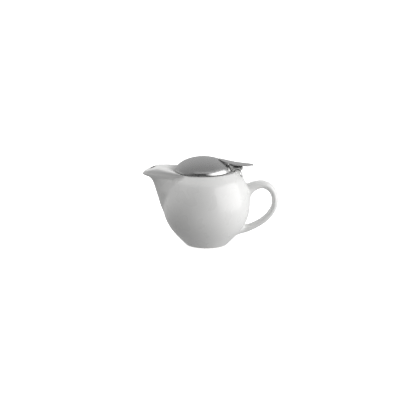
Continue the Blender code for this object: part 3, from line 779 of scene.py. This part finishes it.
def lid_dome():
    """Thin spun shell that ends in a rolled hem."""
    steps = 40
    hem_z = LID_Z + HEM_R
    radii = [LID_R * math.sin(math.pi / 2 * k / steps) for k in range(steps)]
    outer = [(r, dome_z(r)) for r in radii]
    hem = arc(LID_R - HEM_R, hem_z, HEM_R, 0, -180, 12)
    narrower = (LID_R - LID_T) / LID_R
    lower = (LID_RISE - LID_T) / LID_RISE
    inner = [(r * narrower, hem_z + (z - hem_z) * lower) for r, z in outer[:-2]]
    foot = [(LID_R - 2 * HEM_R, hem_z + 0.9), (LID_R - 2 * HEM_R + 0.1, hem_z + 1.4)]
    shell = turned(outer + hem + foot + inner[::-1], 160, MOUTH_X)
    finish(shell, "lid_shell", dome_steel, "satin_steel", "lid", "lid_dome", angle=50.0)


def lid_collar():
    """Locating ring under the dome, rolled inward at its foot."""
    r, z, t, roll = COLLAR_R, COLLAR_BOTTOM_Z, COLLAR_T, COLLAR_ROLL_R
    outline = ([(r, COLLAR_TOP_Z)] + arc(r - roll, z + roll, roll, 0, -90, 6) + [(r - 2 * roll, z)]
               + arc(r - 2 * roll, z + t / 2, t / 2, 260, 100, 4)
               + arc(r - roll, z + roll, roll - t, -90, 0, 4) + [(r - t, COLLAR_TOP_Z)])
    ring = turned(outline, 144, MOUTH_X)
    finish(ring, "lid_locating_ring", collar_steel, "bright_steel", "lid", "lid_collar")


tab_line = curve(TAB_LINE, 40)


def tab_half_width(x):
    """Half the thumb plate's width: its front is more pointed than its back."""
    low, high = TAB_LINE[0][0], TAB_LINE[-1][0]
    s = 2 * (x - low) / (high - low) - 1
    power = 2.8 if s < 0 else 4.0
    return TAB_HALF_WIDTH * math.sqrt(max(0.0, 1 - abs(s) ** power))


def lid_tab():
    """Leaf-shaped thumb plate, crowned across its width, with a rounded edge."""
    low, high = TAB_LINE[0][0], TAB_LINE[-1][0]
    stations, across, edge_steps = 56, 22, 8
    bm = bmesh.new()
    rings = []
    half_t = TAB_T / 2
    for k in range(stations + 1):
        s = -math.cos(math.pi * (k + 0.2) / (stations + 0.4))
        x = (low + high) / 2 + s * (high - low) / 2
        half = tab_half_width(x)
        z = float(tab_line(x))

        def skin(y, lift):
            side = y / half
            return (x, y, z + lift - TAB_CROWN * side * side * half / TAB_HALF_WIDTH)

        flat = max(half - half_t, 0.05)
        ring = [skin(flat * math.sin(math.pi * (t / across - 0.5)), half_t) for t in range(across + 1)]
        ring += [skin(flat + (half - flat) * math.sin(math.pi * t / edge_steps),
                      half_t * math.cos(math.pi * t / edge_steps)) for t in range(1, edge_steps)]
        ring += [skin(flat * math.sin(math.pi * (0.5 - t / across)), -half_t) for t in range(across + 1)]
        ring += [skin(-flat - (half - flat) * math.sin(math.pi * t / edge_steps),
                      -half_t * math.cos(math.pi * t / edge_steps)) for t in range(1, edge_steps)]
        rings.append([bm.verts.new(p) for p in ring])
    for back, front in zip(rings, rings[1:]):
        for t in range(len(back)):
            after = (t + 1) % len(back)
            bm.faces.new((back[t], back[after], front[after], front[t]))
    bm.faces.new(rings[0][::-1])
    bm.faces.new(rings[-1])
    finish(bm, "lid_thumb_plate", tab_steel, "satin_steel", "lid", "lid_tab", angle=60.0)


lid_dome()
lid_collar()
lid_tab()

# ---------------------------------------------------------------- hinge


def reshape(item, cutters, operation="DIFFERENCE"):
    """Cut tools from a finished piece, or add them to it, and remove the tools."""
    for cutter in cutters:
        modifier = item.modifiers.new("cut", "BOOLEAN")
        modifier.operation = operation
        modifier.solver = "EXACT"
        modifier.object = cutter
    bpy.context.view_layer.update()
    graph = bpy.context.evaluated_depsgraph_get()
    mesh = bpy.data.meshes.new_from_object(item.evaluated_get(graph))
    item.modifiers.clear()
    item.data = mesh
    mesh.shade_smooth()
    mesh.set_sharp_from_angle(angle=math.radians(SMOOTH_ANGLE))
    for cutter in cutters:
        bpy.data.objects.remove(cutter, do_unlink=True)


def tool(bm):
    """A cutter or a form to add, in the frame, which is removed after use."""
    item = bpy.data.objects.new("tool", into_frame(bm, "tool"))
    bpy.context.scene.collection.objects.link(item)
    return item


def hinge_bore():
    return add_rod(bmesh.new(), (PIN_X, -ACROSS_HINGE, PIN_Z), (PIN_X, ACROSS_HINGE, PIN_Z), BORE_R, 32)


def hinge_clip():
    """Sprung saddle over the lug, with a web and the fixed knuckle."""
    half = CLIP_T / 2
    leg = Vector((math.sin(CLIP_LEG_ANGLE), -math.cos(CLIP_LEG_ANGLE))) * CLIP_LEG_LENGTH
    end = math.degrees(CLIP_LEG_ANGLE)
    outer = arc(LUG_X, LUG_Z, CLIP_R + half, 180, end, 40)
    inner = arc(LUG_X, LUG_Z, CLIP_R - half, end, 180, 40)
    outline = ([(LUG_X - CLIP_R - half, CLIP_INNER_END_Z)] + outer
               + [(outer[-1][0] + leg.x, outer[-1][1] + leg.y), (inner[0][0] + leg.x, inner[0][1] + leg.y)]
               + inner + [(LUG_X - CLIP_R + half, CLIP_INNER_END_Z)])
    strip = slab(outline, -CLIP_HALF_WIDTH, CLIP_HALF_WIDTH, bevel=0.22)
    clip = finish(strip, "hinge_saddle", clip_steel, "bright_steel", "clip", "hinge_clip")
    knuckle = add_rod(bmesh.new(), (PIN_X, -CLIP_HALF_WIDTH, PIN_Z), (PIN_X, CLIP_HALF_WIDTH, PIN_Z),
                      KNUCKLE_R, 40, 0.25)
    lean = math.atan2(PIN_Z - LUG_Z, PIN_X - LUG_X)
    side = Vector((-math.sin(lean), math.cos(lean))) * CLIP_T
    foot = Vector((LUG_X, LUG_Z)) + Vector((math.cos(lean), math.sin(lean))) * (CLIP_R - CLIP_T / 4)
    head = Vector((PIN_X, PIN_Z))
    web = slab([tuple(foot - side), tuple(head - side), tuple(head + side), tuple(foot + side)],
               -CLIP_HALF_WIDTH + 0.4, CLIP_HALF_WIDTH - 0.4)
    reshape(clip, [tool(knuckle), tool(web)], "UNION")
    reshape(clip, [tool(hinge_bore())])


def hinge_pin():
    """Pin through the knuckle and both cheeks, with a head at each end."""
    half = CHEEK_Y + CHEEK_T + GAP
    bm = bmesh.new()
    add_rod(bm, (PIN_X, -half - 0.1, PIN_Z), (PIN_X, half + 0.1, PIN_Z), PIN_R, 32)
    pin = finish(bm, "hinge_axle", clip_steel, "bright_steel", "clip", "hinge_pin")
    heads = [tool(add_rod(bmesh.new(), (PIN_X, s * half, PIN_Z), (PIN_X, s * (half + PIN_HEAD_T), PIN_Z),
                          PIN_HEAD_R, 32, 0.3)) for s in (-1, 1)]
    reshape(pin, heads, "UNION")


def hinge_bracket():
    """Folded arch under the tab: two cheeks that straddle the clip, joined by a top strip."""
    def under_tab(x):
        return (float(tab_line(x)) - TAB_T / 2 - GAP
                - TAB_CROWN * (CHEEK_Y + CHEEK_T) ** 2 / TAB_HALF_WIDTH**2)

    def over_dome(x):
        return dome_z(math.hypot(x - MOUTH_X, 0.0)) + GAP + 0.1

    top = [(x, under_tab(x)) for x in (44.6, 40.0, 35.5, 31.0, 27.6)]
    dome_side = [(x, over_dome(x)) for x in (27.6, 29.0, 30.2)]
    foot_x = LID_R + MOUTH_X + 0.5
    front_foot = [(foot_x, LID_Z + 2.2), (foot_x, RIM_Z + 0.5), (33.2, RIM_Z + 0.5)]
    arch = arc(LUG_X, LUG_Z, ARCH_R, 148, 72, 20)
    ear = arc(PIN_X, PIN_Z, EAR_R, 230, 360, 18)
    width = CHEEK_Y + CHEEK_T
    bm = slab(top + dome_side + front_foot + arch + ear, -width, width, bevel=0.18)
    bracket = finish(bm, "hinge_arch", clip_steel, "bright_steel", "lid", "hinge_bracket")
    over_knuckle = PIN_Z + KNUCKLE_R
    hollow = [(24.0, 80.0), (52.0, 80.0), (52.0, over_knuckle + 0.5), (36.5, over_knuckle + 0.9),
              (24.0, over_knuckle + 1.4)]
    gap = slab(hollow, -CHEEK_Y, CHEEK_Y)
    reshape(bracket, [tool(gap), tool(hinge_bore())])


hinge_clip()
hinge_pin()
hinge_bracket()

# ---------------------------------------------------------------- basket


def perforated(bm, at, columns, rows):
    """A closed band of square cells, each with a round hole. at(u, v) gives a point and its normal."""
    sides = 8
    faces = []
    for depth in (0.0, BASKET_T):
        grid, holes = {}, {}
        for i in range(columns):
            for j in range(rows + 1):
                point, normal = at(i, j)
                grid[i, j] = bm.verts.new(point - normal * depth)
        for i in range(columns):
            for j in range(rows):
                after_i = (i + 1) % columns
                ring = []
                for k in range(sides):
                    a = math.tau * (k + 0.5) / sides + math.pi
                    point, normal = at(i + 0.5 + HOLE_SHARE * math.cos(a), j + 0.5 + HOLE_SHARE * math.sin(a))
                    ring.append(bm.verts.new(point - normal * depth))
                corners = [grid[i, j], grid[after_i, j], grid[after_i, j + 1], grid[i, j + 1]]
                for q in range(4):
                    first, second = corners[q], corners[(q + 1) % 4]
                    m = 2 * q
                    bm.faces.new((first, second, ring[(m + 1) % sides], ring[m]))
                    bm.faces.new((second, ring[(m + 2) % sides], ring[(m + 1) % sides]))
                holes[i, j] = ring
        faces.append((grid, holes))
    (front, front_holes), (back, back_holes) = faces
    for cell, a in front_holes.items():
        b = back_holes[cell]
        for k in range(sides):
            after = (k + 1) % sides
            bm.faces.new((a[k], a[after], b[after], b[k]))
    for i in range(columns):
        after_i = (i + 1) % columns
        for j in (0, rows):
            bm.faces.new((front[i, j], front[after_i, j], back[after_i, j], back[i, j]))


def add_band(bm, outline, steps):
    """Add a plain ring turned round the mouth's axis."""
    made = turned(outline, steps, MOUTH_X)
    mesh = bpy.data.meshes.new("band")
    made.to_mesh(mesh)
    made.free()
    bm.from_mesh(mesh)


def basket_wall():
    """Perforated wall that narrows downward, with a plain band at each end."""
    top = FLANGE_Z - GAP
    low, high = BASKET_BOTTOM_Z + PLAIN_FOOT, top - PLAIN_TOP
    cell = math.tau * (BASKET_R + BASKET_BOTTOM_R) / 2 / WALL_COLUMNS
    rows = round((high - low) / cell)

    def wall_radius(z):
        rise = (z - BASKET_BOTTOM_Z) / (top - BASKET_BOTTOM_Z)
        return BASKET_BOTTOM_R + (BASKET_R - BASKET_BOTTOM_R) * rise

    def at(u, v):
        z = low + (high - low) * v / rows
        a = math.tau * u / WALL_COLUMNS
        out = Vector((math.cos(a), math.sin(a), 0))
        return out * wall_radius(z) + Vector((MOUTH_X, 0, z)), out

    bm = bmesh.new()
    perforated(bm, at, WALL_COLUMNS, rows)
    for a, b in ((BASKET_BOTTOM_Z, low), (high, top)):
        band = [(wall_radius(a), a), (wall_radius(b), b), (wall_radius(b) - BASKET_T, b),
                (wall_radius(a) - BASKET_T, a)]
        add_band(bm, band, WALL_COLUMNS)
    finish(bm, "basket_sieve", basket_steel, "basket_steel", "basket", "basket_wall")


def basket_base():
    """Perforated bottom in rings of cells, with a plain edge."""
    top = BASKET_BOTTOM_Z - GAP
    bm = bmesh.new()
    for ring in range(1, BASE_RINGS):
        cells = round(math.tau * (ring + 0.5))

        def at(u, v, ring=ring, cells=cells):
            a = math.tau * u / cells
            r = (ring + v) * BASE_PITCH
            return Vector((MOUTH_X + r * math.cos(a), r * math.sin(a), top)), Vector((0, 0, 1))

        perforated(bm, at, cells, 1)
    for a, b in ((0.0, BASE_PITCH), (BASE_RINGS * BASE_PITCH, BASKET_BOTTOM_R)):
        add_band(bm, [(a, top), (b, top), (b, top - BASKET_T), (a, top - BASKET_T)], 96)
    finish(bm, "basket_floor", basket_steel, "basket_steel", "basket", "basket_base")


def basket_rim():
    """Flange that rests on the ledge, with a short skirt inside the wall."""
    skirt_r = BASKET_R - BASKET_T - GAP
    skirt_z = FLANGE_Z - SKIRT_DEPTH
    top = FLANGE_Z + FLANGE_T
    edge = FLANGE_T / 2
    outline = (arc(FLANGE_R - edge, FLANGE_Z + edge, edge, 90, -90, 8)
               + [(skirt_r, FLANGE_Z), (skirt_r - 0.2, skirt_z), (skirt_r - 0.2 - SKIRT_T, skirt_z),
                  (skirt_r - SKIRT_T - 0.05, top - 1.0)]
               + arc(skirt_r - SKIRT_T + 0.95, top - 1.0, 1.0, 180, 90, 5))
    flange = turned(outline, 144, MOUTH_X)
    finish(flange, "basket_flange", basket_steel, "basket_steel", "basket", "basket_rim")


basket_wall()
basket_base()
basket_rim()

# ---------------------------------------------------------------- floor, light and camera


def floor():
    """Plain pale floor."""
    size = 12.0
    bm = bmesh.new()
    bmesh.ops.create_grid(bm, x_segments=1, y_segments=1, size=size)
    mesh = bpy.data.meshes.new("floor")
    bm.to_mesh(mesh)
    bm.free()
    item = bpy.data.objects.new("floor", mesh)
    bpy.context.scene.collection.objects.link(item)
    s = Shader("pale_floor", Roughness=0.7)
    tone = s.mix(s.noise(s.place, 3.0), (0.93, 0.93, 0.93, 1), (0.95, 0.95, 0.95, 1))
    s.put(s.main.inputs["Base Color"], tone)
    mesh.materials.append(s.material)
    return item


def softbox(name, location, target, width, height, power):
    """A rectangular area light that faces a target."""
    light = bpy.data.lights.new(name, "AREA")
    light.shape = "RECTANGLE"
    light.size = width
    light.size_y = height
    light.energy = power
    item = bpy.data.objects.new(name, light)
    item.location = location
    item.rotation_euler = (Vector(target) - Vector(location)).to_track_quat("-Z", "Y").to_euler()
    bpy.context.scene.collection.objects.link(item)
    return item


def direction(turn, rise):
    """A unit vector: turn is degrees from the camera's side toward +X, rise is degrees above level."""
    turn, rise = math.radians(turn), math.radians(rise)
    return Vector((math.sin(turn) * math.cos(rise), -math.cos(turn) * math.cos(rise), math.sin(rise)))


def studio_world():
    """Dim grey surroundings: darkest in front, and mid grey below but for the spout's side."""
    world = bpy.data.worlds.new("studio")
    bpy.context.scene.world = world
    world.use_nodes = True
    tree = world.node_tree
    split = tree.nodes.new("ShaderNodeSeparateXYZ")
    tree.links.new(tree.nodes.new("ShaderNodeTexCoord").outputs["Generated"], split.inputs[0])

    def ramp(source, entries):
        made = tree.nodes.new("ShaderNodeMapRange")
        made.interpolation_type = "SMOOTHSTEP"
        tree.links.new(source, made.inputs[0])
        for socket, value in zip(made.inputs[1:5], entries):
            socket.default_value = value
        return made.outputs[0]

    total = tree.nodes.new("ShaderNodeMath")
    total.operation = "ADD"
    tree.links.new(ramp(split.outputs[1], WORLD_FRONT), total.inputs[0])
    tree.links.new(ramp(split.outputs[1], WORLD_BACK), total.inputs[1])
    mix = tree.nodes.new("ShaderNodeMix")
    tree.links.new(ramp(split.outputs[0], WORLD_BELOW), mix.inputs["B"])
    tree.links.new(ramp(split.outputs[2], WORLD_HORIZON), mix.inputs["Factor"])
    tree.links.new(total.outputs[0], mix.inputs["A"])
    background = tree.nodes["Background"]
    background.inputs["Color"].default_value = (1, 1, 1, 1)
    tree.links.new(mix.outputs["Result"], background.inputs["Strength"])


# Each is from and to, and the strengths there: front and back along Y, below along X, and the horizon
# along Z, where the surroundings give way to what's below.
WORLD_FRONT = (-0.92, -0.30, 0.02, 0.38)
WORLD_BACK = (0.0, 0.9, 0.0, 0.18)
WORLD_BELOW = (-0.95, -0.15, 0.0, 0.47)
WORLD_HORIZON = (-0.30, -0.05, 1.0, 0.0)

# Each softbox: turn and rise in degrees, distance, width and height in metres, watts, and the kind of ray
# that doesn't see it.
SOFTBOXES = [
    ("right_softbox", 68, 16, 1.2, 1.9, 1.3, 18.0, ""),
    ("left_softbox", -62, 32, 1.4, 1.0, 1.0, 4.2, "visible_glossy"),
    ("back_softbox", -135, 36, 1.4, 1.2, 0.8, 12.0, "visible_glossy"),
    ("front_reflector", 4, 54, 1.4, 1.6, 0.36, 0.9, "visible_diffuse"),
]

middle = (cad_box[0] + cad_box[1]) / 2
ground = floor()
for name, turn, rise, distance, width, height, power, hidden_from in SOFTBOXES:
    box = softbox(name, middle + direction(turn, rise) * distance, middle, width, height, power)
    if hidden_from:
        setattr(box, hidden_from, False)

# The softboxes leave the floor out, and a wide light of its own keeps it evenly white.
lit_by_softboxes = bpy.data.collections.new("not_the_floor")
lit_by_softboxes.objects.link(ground)
lit_by_softboxes.collection_objects[0].light_linking.link_state = "EXCLUDE"
for light in bpy.context.scene.objects:
    if light.type == "LIGHT":
        light.light_linking.receiver_collection = lit_by_softboxes
floor_only = bpy.data.collections.new("floor_only")
floor_only.objects.link(ground)
floor_light = bpy.data.lights.new("floor_light", "SUN")
floor_light.angle = math.radians(150.0)
floor_light.energy = 5.0
floor_light.use_shadow = False
floor_lamp = bpy.data.objects.new("floor_light", floor_light)
bpy.context.scene.collection.objects.link(floor_lamp)
floor_lamp.light_linking.receiver_collection = floor_only
ground.visible_diffuse = False
ground.visible_glossy = False
ground.visible_shadow = False
studio_world()

CAMERA_DISTANCE = 2.5
SENSOR_WIDTH = 36.0
CAMERA_ELEVATION = math.radians(13.6)
VIEW_WIDTH = 0.4964
VIEW_CENTER = Vector((-0.01302, 0.0, 0.05545))
camera_data = bpy.data.cameras.new("camera")
camera_data.sensor_width = SENSOR_WIDTH
camera_data.lens = SENSOR_WIDTH * CAMERA_DISTANCE / VIEW_WIDTH
camera = bpy.data.objects.new("camera", camera_data)
away = Vector((0.0, -math.cos(CAMERA_ELEVATION), math.sin(CAMERA_ELEVATION)))
camera.location = VIEW_CENTER + away * CAMERA_DISTANCE
camera.rotation_euler = (-away).to_track_quat("-Z", "Y").to_euler()
bpy.context.scene.collection.objects.link(camera)
bpy.context.scene.camera = camera
bpy.context.scene.view_settings.view_transform = "Standard"
